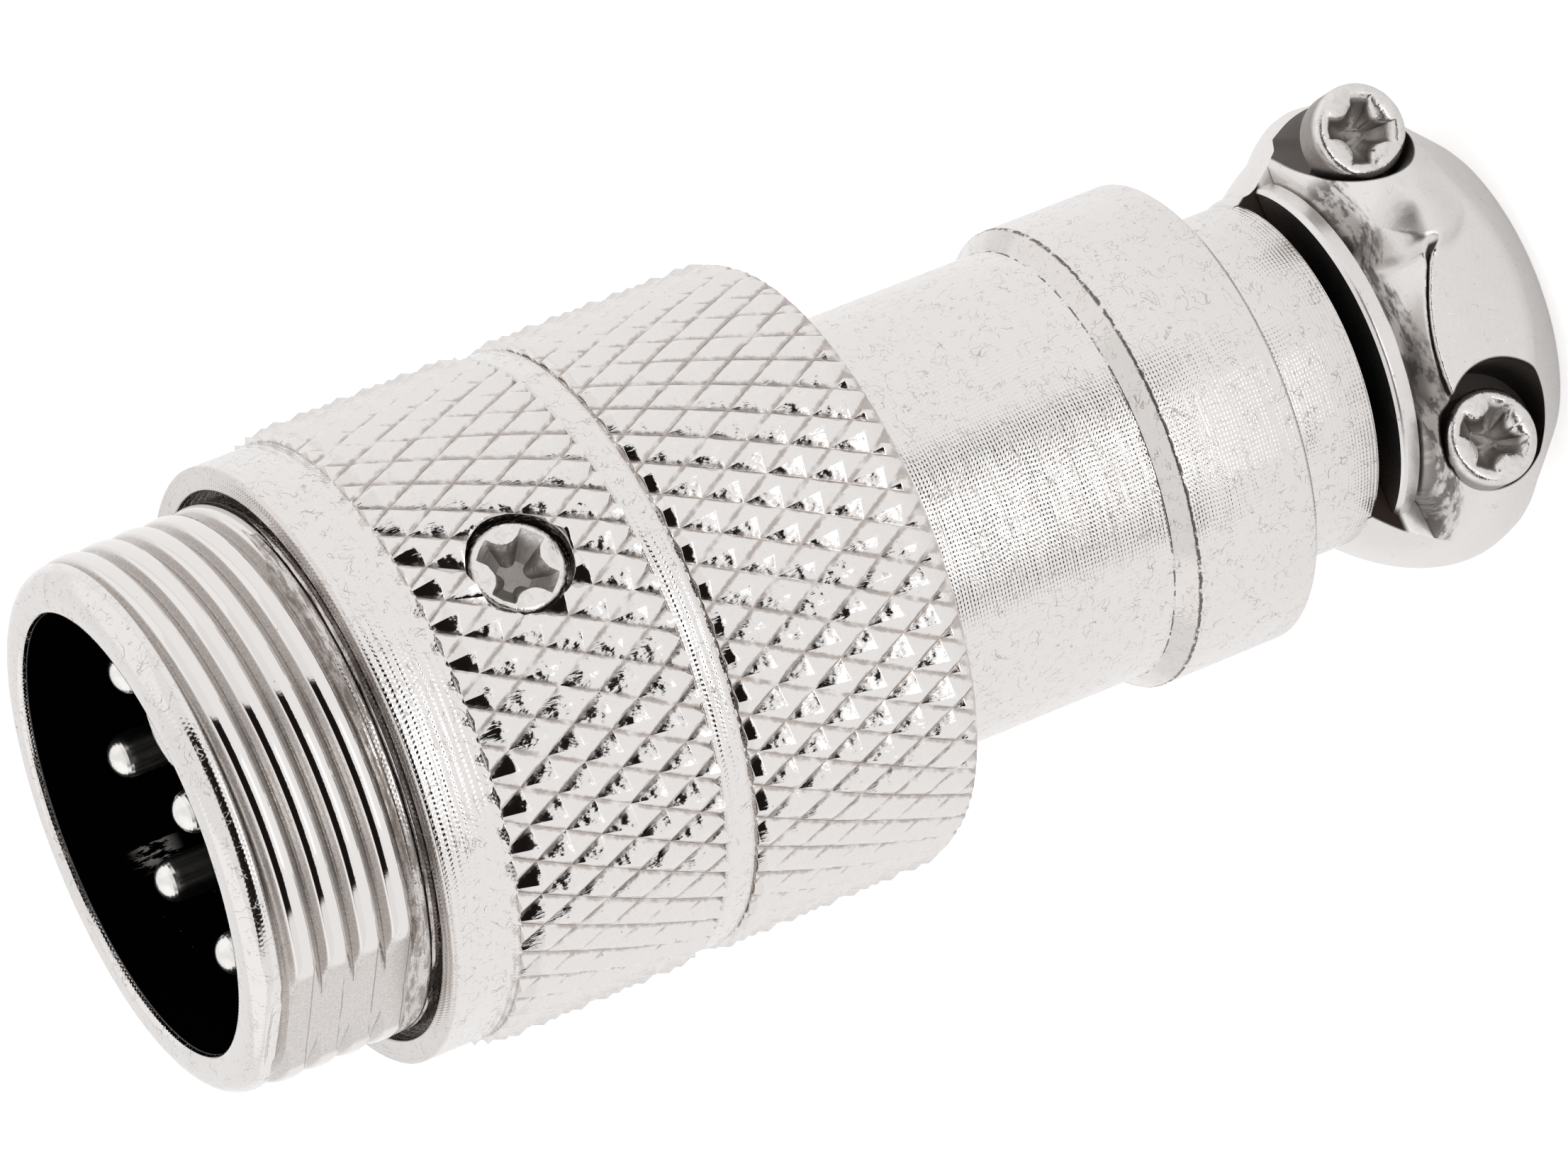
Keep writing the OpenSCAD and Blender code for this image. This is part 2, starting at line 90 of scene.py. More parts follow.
class Value:
    """A socket whose sums and products add Math nodes."""

    def __init__(self, paint, socket):
        self.paint, self.socket = paint, socket

    def _math(self, operation, first, second):
        return self.paint.node("ShaderNodeMath", {"operation": operation}, {0: first, 1: second})

    def __add__(self, other): return self._math("ADD", self, other)
    def __radd__(self, other): return self._math("ADD", other, self)
    def __sub__(self, other): return self._math("SUBTRACT", self, other)
    def __rsub__(self, other): return self._math("SUBTRACT", other, self)
    def __mul__(self, other): return self._math("MULTIPLY", self, other)
    def __rmul__(self, other): return self._math("MULTIPLY", other, self)
    def __truediv__(self, other): return self._math("DIVIDE", self, other)
    def __pow__(self, other): return self._math("POWER", self, other)


class Paint:
    """One procedural material, written as expressions on its sockets."""

    def __init__(self, name, tree=None):
        if tree:
            self.tree = tree
            return
        self.material = bpy.data.materials.new(name)
        self.material.use_nodes = True
        self.tree = self.material.node_tree
        self.tree.nodes.clear()
        self.surface = self.tree.nodes.new("ShaderNodeBsdfPrincipled")
        self.output = self.tree.nodes.new("ShaderNodeOutputMaterial")
        self.tree.links.new(self.surface.outputs[0], self.output.inputs[0])
        here = self.node("ShaderNodeTexCoord", out=3)
        self.here = self.node("ShaderNodeVectorMath", {"operation": "SCALE"}, {0: here, "Scale": 1000.0})
        parts = self.node("ShaderNodeSeparateXYZ", inputs={0: self.here})
        self.x, self.y, self.z = [Value(self, s) for s in parts.socket.node.outputs]
        self.r = (self.x * self.x + self.y * self.y) ** 0.5
        self.arc = self.node("ShaderNodeMath", {"operation": "ARCTAN2"}, {0: self.x, 1: 0.0 - self.y}) * self.r

    def plug(self, socket, value):
        if isinstance(value, Value):
            self.tree.links.new(value.socket, socket)
        elif isinstance(value, tuple) and socket.type == "RGBA":
            socket.default_value = (*value, 1)
        else:
            socket.default_value = value

    def node(self, kind, settings=None, inputs=None, out=0):
        made = self.tree.nodes.new(kind)
        for key, value in (settings or {}).items():
            setattr(made, key, value)
        for key, value in (inputs or {}).items():
            self.plug(made.inputs[key], value)
        return Value(self, made.outputs[out])

    def set(self, **values):
        for key, value in values.items():
            self.plug(self.surface.inputs[key.replace("_", " ")], value)

    def vector(self, x, y, z=0.0):
        return self.node("ShaderNodeCombineXYZ", inputs={0: x, 1: y, 2: z})

    def noise(self, where, scale=1.0, detail=2.0, roughness=0.5, distortion=0.0, kind="3D"):
        return self.node("ShaderNodeTexNoise", {"noise_dimensions": kind}, {
            "Vector": where, "Scale": scale, "Detail": detail, "Roughness": roughness, "Distortion": distortion})

    def step(self, value, start, end, low=0.0, high=1.0):
        """Runs smoothly from low to high while the value runs from start to end."""
        return self.node("ShaderNodeMapRange", {"interpolation_type": "SMOOTHSTEP"},
                         {0: value, 1: start, 2: end, 3: low, 4: high})

    def wave(self, turns):
        return self.node("ShaderNodeMath", {"operation": "SINE"}, {0: turns * (2 * math.pi)})

    def size(self, value):
        return self.node("ShaderNodeMath", {"operation": "ABSOLUTE"}, {0: value})

    def mix(self, factor, first, second):
        made = self.tree.nodes.new("ShaderNodeMix")
        made.data_type = "RGBA"
        for place, value in ((0, factor), (6, first), (7, second)):
            self.plug(made.inputs[place], value)
        return Value(self, made.outputs[2])

    def bump(self, height, distance, under=None):
        inputs = {"Height": height, "Distance": distance, "Strength": 1.0}
        if under is not None:
            inputs["Normal"] = under
        return self.node("ShaderNodeBump", {}, inputs)

    def hairs(self, scale, width, cover, seed):
        """Short curled marks: where a noise passes its middle, kept in patches."""
        where = self.node("ShaderNodeVectorMath", {"operation": "ADD"},
                          {0: self.here, 1: (seed, seed * 0.7, seed * 1.3)})
        line = self.step(self.size(self.noise(where, scale, 1.0, 0.5, 0.5) - 0.5), width, width * 0.3)
        return line * self.step(self.noise(where, scale * 0.8, 1.0, 0.6), cover, cover + 0.06)

    def specks(self, scale, size, share, seed):
        """Small round spots, one in a few of the cells."""
        where = self.node("ShaderNodeVectorMath", {"operation": "ADD"}, {0: self.here, 1: (seed, -seed, seed)})
        cell = self.node("ShaderNodeTexVoronoi", {}, {"Vector": where, "Scale": scale})
        pick = self.node("ShaderNodeSeparateColor", inputs={0: Value(self, cell.socket.node.outputs[1])})
        return self.step(cell, size, size * 0.5) * self.step(pick, 1 - share, 1 - share + 0.04)


NICKEL = (0.785, 0.757, 0.74)
WARM = (0.64, 0.60, 0.57)
SOOT = (0.27, 0.215, 0.18)


def turned_nickel(name, pitch=0.13, marks=1.0, shine=0.07, worn=(), dirt=1.0, chatter=0.15, zone=None):
    """Bright plated metal with lathe lines and chatter, curled marks, specks and worn corners."""
    p = Paint(name)
    run = p.z + p.r
    cloud = p.noise(p.here, 1.7, 3.0, 0.6)
    grain = p.noise(p.here, 13.0, 2.0, 0.6)
    drift = p.noise(p.vector(run * 0.9, p.arc * 0.3), 1.0, 1.0, kind="2D")
    feed = p.wave(run / pitch + drift * 0.5)
    beat = p.wave(p.arc / chatter + drift * 1.5 + run * 0.2)
    fine = p.noise(p.vector(run / (pitch * 0.45), p.arc * 0.25), 1.0, 2.0, 0.7, kind="2D")
    patch = p.step(cloud, 0.40, 0.58)
    hair = p.hairs(2.3, 0.014, 0.46, 3.1) * patch + p.hairs(3.6, 0.011, 0.54, 9.7)
    spot = p.specks(3.2, 0.10, 0.14, 5.0)
    mark = (hair + spot * 0.8) * dirt
    edge = 0.0
    for station in worn:
        edge = p.step(p.size(p.z - station) + cloud * 0.10, 0.17, 0.07) + edge
    dull = p.step(grain, 0.50, 0.74) * patch
    base = p.mix(dull * 0.35, NICKEL, WARM)
    base = p.mix(mark * 0.42, base, SOOT)
    if worn:
        base = p.mix(edge * 0.35, base, (0.56, 0.51, 0.475))
    rough = shine + fine * 0.05 + dull * 0.10 + mark * 0.25
    lines = feed * (0.55 + beat * 0.45) + fine * 1.1
    metal = 1.0
    if zone is not None:
        base, rough, metal, lines = zone(p, base, rough, metal, lines)
        p.set(Specular_IOR_Level=0.0)
    p.set(Base_Color=base, Metallic=metal, Roughness=rough)
    under = p.bump(grain * 0.5 - mark * 3.0, 2.0e-6)
    p.set(Normal=p.bump(lines, 3.6e-6 * marks, under))
    return p.material


# Where the wall of the mouth is scraped: millimetres along the wall from the -Y side, and height.
SCRAPE_ARC, SCRAPE_Z = -20.5, 42.0


def nose_zones(p, base, rough, metal, lines):
    """The inside of the mouth made black and not metal, as painted shade, and the dull turned neck behind the
    thread.
    """
    # Painted shade: the wall inside the mouth is made near black where the mouth lies in shade; the scrape and
    # flecks below are lighter marks on it.
    inside = p.step(p.r, 6.80, 6.70) * p.step(p.z, 44.46, 44.40)
    neck = p.step(p.z, 39.85, 39.70) * p.step(p.r, 7.2, 7.3)
    blot = p.noise(p.vector(p.z * 7.0, p.arc * 0.9), 1.0, 3.0, 0.7, kind="2D")
    streak = p.step(blot, 0.40, 0.62)
    crack = p.step(p.size(p.z - 39.30 + (blot - 0.5) * 0.22), 0.035, 0.015)
    base = p.mix(neck * (0.25 + streak * 0.55), base, (0.24, 0.195, 0.17))
    base = p.mix(neck * crack * 0.8, base, (0.05, 0.035, 0.03))
    dust = p.noise(p.vector(p.z * 1.2, p.arc * 5.0), 1.0, 3.0, 0.75, kind="2D")
    aside = p.size(p.arc - SCRAPE_ARC)
    scrape = p.step(p.size(p.z - SCRAPE_Z), 0.9, 0.2) * p.step(aside, 0.6, 0.15) * p.step(dust, 0.48, 0.56)
    flecks = p.specks(7.0, 0.11, 0.06, 8.0) * p.step(aside, 4.5, 2.5)
    base = p.mix(inside, base, (0.0012, 0.001, 0.001))
    base = p.mix(inside * (scrape * 0.75 + flecks * 0.6), base, (0.55, 0.52, 0.50))
    rough = rough + neck * streak * 0.22 + inside * 0.35
    return base, rough, 1.0 - inside, lines * (1.0 - inside)


def shell_zones(p, base, rough, metal, lines):
    """Painted shade made near black down in the clamp's slot, and dirty lines either side of the collar's chamfer.
    """
    rag = p.noise(p.vector(p.z * 3.0, p.arc * 2.5), 1.0, 3.0, 0.7, kind="2D")
    shift = (rag - 0.5) * 0.16
    seam = p.step(p.size(p.z - 13.70 + shift), 0.07, 0.03) * p.step(rag, 0.36, 0.50)
    seam = seam + p.step(p.size(p.z - 14.27 + shift * 0.4), 0.035, 0.015) * p.step(rag, 0.45, 0.55)
    band = p.step(p.z, 13.66, 13.74) * p.step(p.z, 14.27, 14.20)
    # Painted shade: the neck's end face and bore inside the clamp's slot are made near black and not metal.
    slot = p.step(p.z, 9.3, 9.0) * p.step(p.r, 5.25, 5.15)
    base = p.mix(band * (0.25 + rag * 0.4), base, WARM)
    base = p.mix(seam * 0.85, base, (0.07, 0.05, 0.04))
    base = p.mix(slot, base, (0.006, 0.005, 0.005))
    return base, rough + seam * 0.3 + slot * 0.4, metal - slot, lines * (1.0 - band * 0.7)


def thread_nickel():
    """Smooth bright crests with a fine burr line, and grey speckled grooves between them."""
    p = Paint("thread_nickel")
    fine = p.noise(p.here, 17.0, 2.0, 0.7)
    wave = p.noise(p.vector(p.z * 1.5, p.arc * 0.5), 1.0, 2.0, 0.6, kind="2D")
    crest = THREAD_TOP - THREAD_TURN / 360
    turns = p.z - p.arc / p.r / (2 * math.pi) - (crest - 0.5)
    along = p.node("ShaderNodeMath", {"operation": "FRACT"}, {0: turns}) - 0.5
    deep = p.step(p.r, 7.92, 7.84)
    grit = p.step(fine, 0.40, 0.62)
    burr = p.step(p.size(along + 0.185 + (wave - 0.5) * 0.06), 0.022, 0.010) * p.step(wave, 0.35, 0.5)
    spot = p.specks(3.0, 0.11, 0.12, 4.0)
    base = p.mix(deep * (0.22 + grit * 0.28), NICKEL, (0.36, 0.315, 0.285))
    base = p.mix(spot * 0.6 + burr * 0.55, base, SOOT)
    p.set(Base_Color=base, Metallic=1.0, Roughness=0.05 + deep * 0.22 + spot * 0.2)
    under = p.bump(wave, 4.0e-6)
    p.set(Normal=p.bump(fine * (0.12 + deep) - burr * 2.0, 6.0e-6, under))
    return p.material


def pressed_nickel(name, shine=0.24, grain=1.0, shade_paint=None):
    """Bright plated casting: small waves and grain, painted shade in the low places."""
    p = Paint(name)
    wave = p.noise(p.here, 1.3, 2.0, 0.55)
    fine = p.noise(p.here, 16.0, 2.0, 0.7)
    dull = p.step(fine, 0.5, 0.75)
    mark = p.hairs(2.2, 0.012, 0.58, 7.3) * 0.5 + p.specks(3.0, 0.10, 0.12, 2.0)
    base = p.mix(dull * 0.3, NICKEL, WARM)
    base = p.mix(mark * 0.5, base, SOOT)
    rough = shine + fine * 0.10 + mark * 0.2
    bumps = p.bump(wave, 1.6e-5 * grain)
    bumps = p.bump(fine, 1.8e-6 * grain, bumps)
    if shade_paint is not None:
        low, glitter = shade_paint(p)
        # Painted shade: the mask given for the low places turns them near black.
        base = p.mix(low, base, (0.045, 0.032, 0.026))
        rough = rough + low * 0.3
        if glitter is not None:
            rough = rough - glitter * 0.14
            bumps = p.bump(p.noise(p.here, 11.0, 2.0, 0.8) * glitter, 1.3e-5, bumps)
    p.set(Base_Color=base, Metallic=1.0, Roughness=rough, Normal=bumps)
    return p.material


def saddle_shade_paint(p):
    """Painted shade in the saddle's groove, crack and screw pockets, and the glittering flat panel."""
    blot = p.noise(p.vector(p.z * 5.0, p.arc * 1.1), 1.0, 3.0, 0.7, kind="2D")
    groove = p.step(p.z + (blot - 0.5) * 0.5, 4.40, 4.75) * p.step(p.z, 5.20, 5.05) * p.step(p.arc, 5.6, 4.6)
    off = p.z - crack_z(p.x)
    wide = 0.045 + p.step(p.x, 0.95, 1.45) * 0.09
    within = p.step(p.x, 1.62, 1.50) * p.step(p.x, -2.85, -2.65)
    crack = p.step(p.size(off) / wide, 1.3, 0.7) * within * p.step(0.0 - p.y, 5.3, 5.5)
    panel = p.step(off, 0.0, -0.1) * p.step(p.z, 0.9, 1.3) * p.step(p.x, 1.9, 1.3) * p.step(p.x, -3.2, -2.8)
    panel = panel * p.step(0.0 - p.y, 5.8, 6.0)
    # Painted shade: the crack, and the groove in patches, are darkened where they lie in shade.
    dark = crack * 0.95 + groove * (0.25 + p.step(blot, 0.42, 0.60) * 0.5)
    # Painted shade: a dark ring round each screw pocket, in the shadow gap round the head.
    for x, z, pocket_r in POCKETS:
        off_x, off_z = p.x - x, p.z - z
        near = (off_x * off_x + off_z * off_z) ** 0.5
        dark = p.step(near, pocket_r + 0.06, pocket_r) * p.step(p.y, -6.7, -6.1) * 0.9 + dark
    return dark, panel


def half_shade_paint(p):
    """Painted shade in the cable hole and on the split face beside the slot."""
    # Painted shade: near black inside the bore and on the shaded split face.
    return p.step(p.r, 4.3, 4.1) + p.step(0.0 - p.y, 1.85, 1.98) * p.step(p.z, 5.5, 5.7), None


def knurled_nickel(name):
    """The rolled pyramids: bright flanks with drag marks, dull soot down in the grooves."""
    p = Paint(name)
    drag = p.noise(p.vector(p.z * 2.6, p.arc * 8.0), 1.0, 2.0, 0.6, kind="2D")
    fine = p.noise(p.here, 15.0, 2.0, 0.65)
    wave = p.noise(p.here, 2.4, 1.0, 0.5)
    rag = p.noise(p.here, 5.0, 3.0, 0.7)
    low = p.step(p.r + (rag - 0.5) * 0.14, 9.05, 8.985) * p.step(wave, 0.25, 0.55)
    tip = p.step(p.r, 9.27, 9.35)
    dull = p.step(fine, 0.5, 0.75)
    spot = p.specks(2.6, 0.10, 0.12, 4.0)
    share = (p.r - KNURL_R) / KNURL_RISE
    base = p.mix(dull * 0.3, NICKEL, WARM)
    base = p.mix(low * 0.6, base, (0.30, 0.235, 0.20))
    base = p.mix(tip * 0.4, base, (0.86, 0.84, 0.82))
    base = p.mix(spot * 0.6, base, SOOT)
    p.set(Base_Color=base, Metallic=1.0, Roughness=0.045 + fine * 0.05 + low * 0.2)
    under = p.bump(share * share * -0.085, 1.0e-3)
    under = p.bump(wave, 2.2e-5, under)
    under = p.bump(drag, 0.8e-5, under)
    p.set(Normal=p.bump(fine, 1.0e-6, under))
    return p.material


def screw_steel(name, way, floor_end, face):
    """Plated screw: scuffed head, and painted shade making the recess and the head's sunk sides a duller grey."""
    p = Paint(name)
    fine = p.noise(p.here, 14.0, 2.0, 0.6)
    scuff = p.noise(p.here, 4.0, 2.0, 0.65, 0.8)
    out = p.node("ShaderNodeVectorMath", {"operation": "DOT_PRODUCT"}, {0: p.here, 1: way}, out=1)
    # Painted shade: everything sunk below the top face, the recess and the head's sides, is mixed to dark grey.
    deep = p.step(out, face - 0.06, floor_end)
    nick = p.step(scuff, 0.45, 0.7)
    base = p.mix(nick * 0.45, (0.78, 0.755, 0.735), (0.62, 0.585, 0.55))
    base = p.mix(deep * 0.85, base, (0.26, 0.235, 0.215))
    p.set(Base_Color=base, Metallic=1.0, Roughness=0.17 + fine * 0.12 + nick * 0.08 + deep * 0.2)
    p.set(Normal=p.bump(fine, 2.0e-6, p.bump(scuff, 1.6e-5)))
    return p.material


def contact_silver():
    p = Paint("contact_silver")
    fine = p.noise(p.here, 12.0, 2.0, 0.6)
    haze = p.noise(p.here, 1.8, 2.0, 0.6)
    base = p.mix(p.step(haze, 0.4, 0.7) * 0.4, (0.88, 0.865, 0.84), (0.76, 0.72, 0.67))
    p.set(Base_Color=base, Metallic=1.0, Roughness=0.16 + fine * 0.12, Normal=p.bump(fine, 2.0e-6))
    return p.material


def black_resin():
    p = Paint("black_resin")
    fine = p.noise(p.here, 9.0, 3.0, 0.6)
    cloud = p.noise(p.here, 1.2, 2.0, 0.6)
    dust = p.specks(6.0, 0.10, 0.10, 6.0)
    base = p.mix(p.step(cloud, 0.4, 0.8) * 0.5, (0.0012, 0.001, 0.001), (0.003, 0.0025, 0.0025))
    base = p.mix(dust * 0.2, base, (0.10, 0.095, 0.09))
    p.set(Base_Color=base, Roughness=0.5 + fine * 0.2, Specular_IOR_Level=0.02, Normal=p.bump(fine, 4.0e-6))
    return p.material


# ---- Mesh work ----

def only(piece):
    bpy.ops.object.select_all(action="DESELECT")
    piece.select_set(True)
    bpy.context.view_layer.objects.active = piece


def apply(piece, kind, **settings):
    only(piece)
    made = piece.modifiers.new(kind.lower(), kind)
    for key, value in settings.items():
        setattr(made, key, value)
    bpy.ops.object.modifier_apply(modifier=made.name)


def edit(piece):
    only(piece)
    bpy.ops.object.mode_set(mode="EDIT")
    bpy.ops.mesh.select_mode(type="VERT")
    bpy.ops.mesh.select_all(action="SELECT")


def done(piece, bevel=0.0, segments=2, angle=28, smooth=32):
    if piece.mode == "EDIT":
        bpy.ops.object.mode_set(mode="OBJECT")
    if bevel:
        apply(piece, "BEVEL", width=bevel * MM, segments=segments, limit_method="ANGLE",
              angle_limit=math.radians(angle), use_clamp_overlap=True)
    only(piece)
    bpy.ops.object.shade_smooth_by_angle(angle=math.radians(smooth))
    return piece


def cleaned(piece):
    """Takes slivers and doubled points out of a cut mesh."""
    edit(piece)
    bpy.ops.mesh.remove_doubles(threshold=1.5e-6)
    bpy.ops.mesh.dissolve_degenerate(threshold=1.5e-6)
    bpy.ops.mesh.normals_make_consistent(inside=False)
    bpy.ops.object.mode_set(mode="OBJECT")


def dress(piece, material, slot, body, *stands_for):
    piece.data.materials.clear()
    piece.data.materials.append(material)
    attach(piece, body)
    if stands_for:
        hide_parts(*stands_for)
    return piece


def from_bmesh(name, bm):
    bmesh.ops.recalc_face_normals(bm, faces=bm.faces[:])
    mesh = bpy.data.meshes.new(name)
    bm.to_mesh(mesh)
    bm.free()
    piece = bpy.data.objects.new(name, mesh)
    scene.collection.objects.link(piece)
    return piece


def turned(name, outline, segments=192, open_ends=False):
    """Turns a closed outline of (radius, height) round the axis, ring by ring."""
    bpy.ops.object.select_all(action="DESELECT")
    bpy.ops.mesh.primitive_circle_add(vertices=segments, radius=outline[0][0] * MM,
                                      location=AXIS + Vector((0, 0, outline[0][1] * MM)))
    piece = bpy.context.object
    piece.name = piece.data.name = name
    bpy.ops.object.transform_apply(location=True, rotation=True, scale=True)
    edit(piece)
    for (ra, za), (rb, zb) in zip(outline, outline[1:] + ([] if open_ends else outline[:1])):
        bpy.ops.mesh.extrude_region_move(TRANSFORM_OT_translate={"value": (0, 0, (zb - za) * MM)})
        if abs(rb - ra) > 1e-6:
            bpy.ops.transform.resize(value=(rb / ra, rb / ra, 1), center_override=AXIS + Vector((0, 0, zb * MM)))
    bpy.ops.mesh.select_all(action="SELECT")
    bpy.ops.mesh.remove_doubles(threshold=1e-7)
    bpy.ops.mesh.normals_make_consistent(inside=False)
    bpy.ops.object.mode_set(mode="OBJECT")
    return piece


def bored(piece, centre, way, radius, start, end, segments=48):
    """Drills a round hole along a direction, from one distance to another."""
    way = Vector(way).normalized()
    middle = AXIS + (Vector(centre) + way * ((start + end) / 2)) * MM
    bpy.ops.object.select_all(action="DESELECT")
    bpy.ops.mesh.primitive_cylinder_add(vertices=segments, radius=radius * MM, depth=(end - start) * MM)
    drill = bpy.context.object
    drill.data.transform(Matrix.Translation(middle) @ way.to_track_quat("Z", "Y").to_matrix().to_4x4())
    apply(piece, "BOOLEAN", operation="DIFFERENCE", object=drill, solver="EXACT")
    bpy.data.objects.remove(drill)


def curve(cx, cy, r, start, end, steps):
    turns = [math.radians(start + (end - start) * i / steps) for i in range(steps + 1)]
    return [(cx + r * math.cos(a), cy + r * math.sin(a)) for a in turns]


def ease(value, start, end):
    t = min(1.0, max(0.0, (value - start) / (end - start)))
    return t * t * (3 - 2 * t)


def place(r, turn, z):
    """A point at an angle round the axis, counted from the -Y side towards +X."""
    a = math.radians(turn)
    return AXIS + Vector((r * math.sin(a), -r * math.cos(a), z)) * MM


# ---- Sleeve ----

def bore_set_screw(piece):
    bored(piece, (0, 0, SET_Z), KEY_WAY, SET_BORE_R, 5, 11)


def sleeve_core(material):
    """The turned body under the knurling: open bores, the ring between the bands and the front collar."""
    piece = turned("sleeve_core", [
        (6.64, SLEEVE_Z), (CORE_R - 0.04, SLEEVE_Z), (CORE_R, SLEEVE_Z + 0.04), (CORE_R, RING_BACK),
        (RING_R - 0.02, RING_BACK), (RING_R, RING_BACK + 0.03), (RING_R, RING_FRONT - 0.03),
        (RING_R - 0.03, RING_FRONT), (CORE_R, RING_FRONT), (CORE_R, 37.0), (SLEEVE_R, 37.0),
        (SLEEVE_R, FRONT_Z - 0.05), (SLEEVE_R - 0.05, FRONT_Z), (8.32, FRONT_Z), (8.28, FRONT_Z - 0.04),
        (8.28, 37.45), (7.77, 37.45), (7.77, 30.13), (6.64, 30.13)])
    bore_set_screw(piece)
    cleaned(piece)
    done(piece, 0.025)
    return dress(piece, material, "nickel_plate", "plug", "sleeve")


def knurl_band(name, back_start, back_end, chamfer, material):
    """A ring of rolled pyramids between two stations behind the sleeve's front face."""
    count, step, first_row, lining_r = 100, 1.02, 0.81, 8.67
    first = math.floor((back_start - first_row) / step) - 1
    last = math.ceil((back_end - first_row) / step) + 1
    bm = bmesh.new()
    rows = []
    for row in range(first, last + 1):
        ring = []
        for s in range(count):
            r = KNURL_R + KNURL_RISE * ((row + s) % 2 == 0)
            ring.append(bm.verts.new(place(r, s * 360 / count - 3.5, FRONT_Z - first_row - row * step)))
        rows.append(ring)
    for k, (a, b) in enumerate(zip(rows, rows[1:])):
        for s in range(count):
            e = (s + 1) % count
            if (first + k + s) % 2 == 0:
                bm.faces.new((a[s], a[e], b[s]))
                bm.faces.new((a[e], b[e], b[s]))
            else:
                bm.faces.new((a[s], b[e], b[s]))
                bm.faces.new((a[s], a[e], b[e]))
    for back, side in ((back_start, 1), (back_end, -1)):
        bmesh.ops.bisect_plane(bm, geom=bm.verts[:] + bm.edges[:] + bm.faces[:], dist=1e-8,
                               plane_co=place(0, 0, FRONT_Z - back), plane_no=(0, 0, side), clear_outer=True)
    if chamfer:
        top = FRONT_Z - back_end
        bmesh.ops.bisect_plane(bm, geom=bm.verts[:] + bm.edges[:] + bm.faces[:], dist=1e-8,
                               plane_co=place(0, 0, top + chamfer), plane_no=(0, 0, 1))
        for v in bm.verts:
            spare = (v.co.z / MM - top) / chamfer
            if spare < 0.999:
                flat = Vector((v.co.x - AXIS.x, v.co.y - AXIS.y, 0))
                cap = (KNURL_R + 0.03 + (KNURL_RISE - 0.03) * max(0.0, spare)) * MM
                if flat.length > cap:
                    v.co -= flat.normalized() * (flat.length - cap)
    edges = [e for e in bm.edges if e.is_boundary]
    made = bmesh.ops.extrude_edge_only(bm, edges=edges)
    for v in [g for g in made["geom"] if isinstance(g, bmesh.types.BMVert)]:
        flat = Vector((v.co.x - AXIS.x, v.co.y - AXIS.y, 0))
        v.co -= flat.normalized() * (flat.length - lining_r * MM)
    bmesh.ops.bridge_loops(bm, edges=[e for e in bm.edges if e.is_boundary])
    piece = from_bmesh(name, bm)
    if name.endswith("front"):
        bore_set_screw(piece)
    done(piece, 0.028, segments=2, angle=24, smooth=24)
    return dress(piece, material, "nickel_plate", "plug")


# ---- Screws ----

def cross_tool(size, depth, turn):
    """The punch of a cross recess: four arms between rounded ears, narrowing downwards."""
    outline = []
    for quarter in range(4):
        corner = [(size, 0.0), (size * 0.98, size * 0.30)]
        corner += curve(size * 0.80, size * 0.80, size * 0.50, -80, -190, 9)
        corner += [(size * 0.30, size * 0.98)]
        q = math.radians(90 * quarter + turn)
        for x, y in corner:
            outline.append((x * math.cos(q) - y * math.sin(q), x * math.sin(q) + y * math.cos(q)))
    bm = bmesh.new()
    rings = []
    for z, grow in ((0.3, 1.12), (0.0, 1.0), (-depth * 0.45, 0.84), (-depth, 0.42)):
        ring = []
        for i, (x, y) in enumerate(outline):
            jag = 1 + 0.035 * noise.noise(Vector((i * 0.9, size, 3.0)))
            ring.append(bm.verts.new(Vector((x * grow * jag, y * grow * jag, z)) * MM))
        rings.append(ring)
    for a, b in zip(rings, rings[1:]):
        for k in range(len(a)):
            n = (k + 1) % len(a)
            bm.faces.new((a[k], a[n], b[n], b[k]))
    bm.faces.new(rings[0])
    bm.faces.new(rings[-1][::-1])
    return from_bmesh("punch", bm)


def cross_head(name, way, centre, top, outline, size, depth, turn, material, slot, body, node):
    """A turned screw with a punched cross recess, set along a direction with its top at a given distance."""
    way = Vector(way)
    sideways = Vector((0, 0, 1)).cross(way).normalized()
    piece = turned(name, outline, 64, open_ends=True)
    piece.data.transform(Matrix.Translation(-AXIS))
    edit(piece)
    bpy.ops.mesh.select_mode(type="EDGE")
    bpy.ops.mesh.select_all(action="DESELECT")
    bpy.ops.mesh.select_non_manifold()
    bpy.ops.mesh.edge_face_add()
    done(piece, 0.02)
    tool = cross_tool(size, depth, turn)
    apply(piece, "BOOLEAN", operation="DIFFERENCE", object=tool, solver="EXACT")
    bpy.data.objects.remove(tool)
    turn_in = Matrix((sideways, Vector((0, 0, 1)), way)).transposed().to_4x4()
    piece.data.transform(Matrix.Translation(AXIS + (Vector(centre) + way * top) * MM) @ turn_in)
    piece.data.update()
    cleaned(piece)
    done(piece, 0.045, segments=3, angle=35, smooth=40)
    cleaned(piece)
    return dress(piece, material, slot, body, node)


# ---- Nose ----

